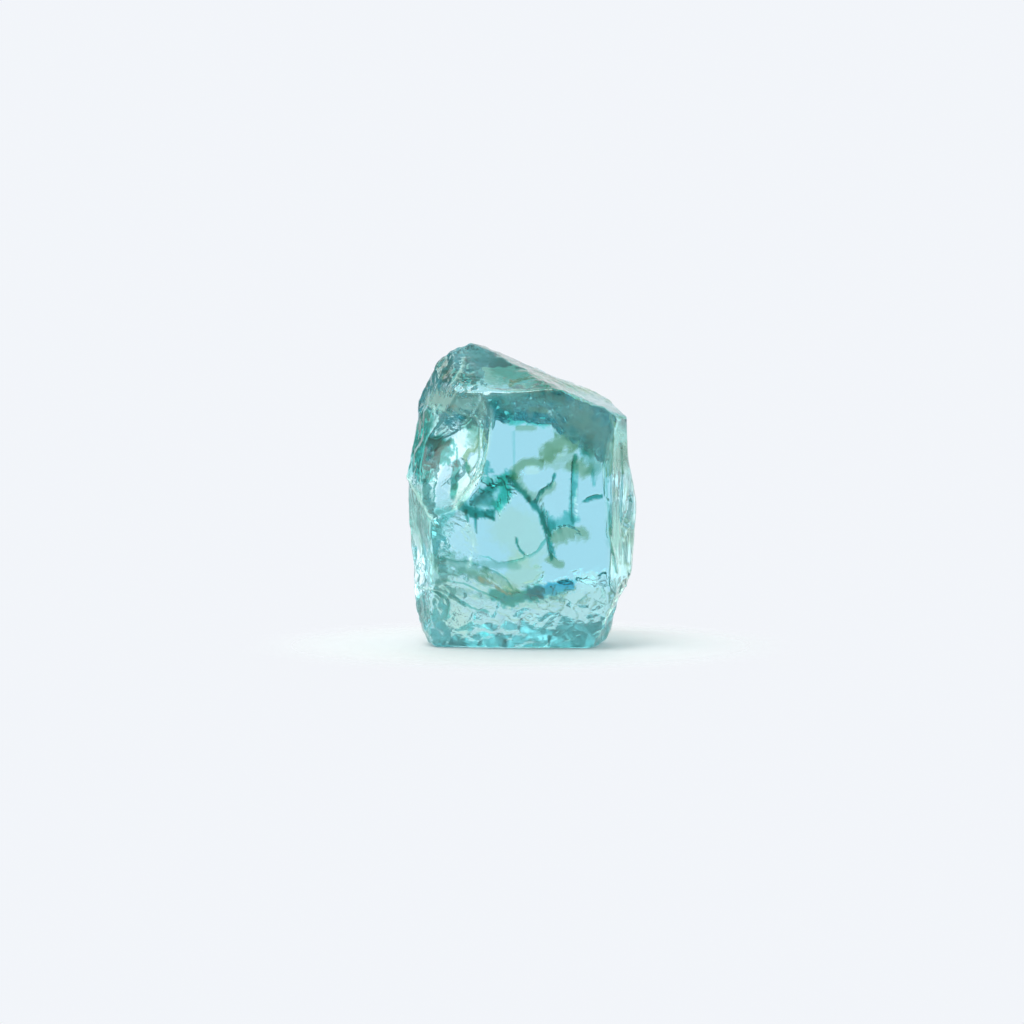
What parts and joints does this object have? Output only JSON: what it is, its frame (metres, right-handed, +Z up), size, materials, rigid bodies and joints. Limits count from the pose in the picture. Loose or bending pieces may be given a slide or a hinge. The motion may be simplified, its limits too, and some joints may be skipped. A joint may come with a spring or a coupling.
{
  "type": "raw apatite crystal",
  "caption": "Rough clear sea-blue mineral prism, broken across both ends, that rests upright on its flat lower break.",
  "frame": {"origin": "middle of the crystal's footprint box, on the surface that it rests on", "axes": "+Z up along the prism, the long direction; -Y out of the large clear window; +X to the right of someone who looks at the window"},
  "size_m": [0.0112, 0.0092, 0.0147],
  "materials": {
    "clear_apatite": "clear sea-blue crystal, glassy on the prism faces and slightly frosted on the breaks"
  },
  "bodies": {
    "root": {"apatite_crystal": "clear_apatite"}
  },
  "joints": []
}
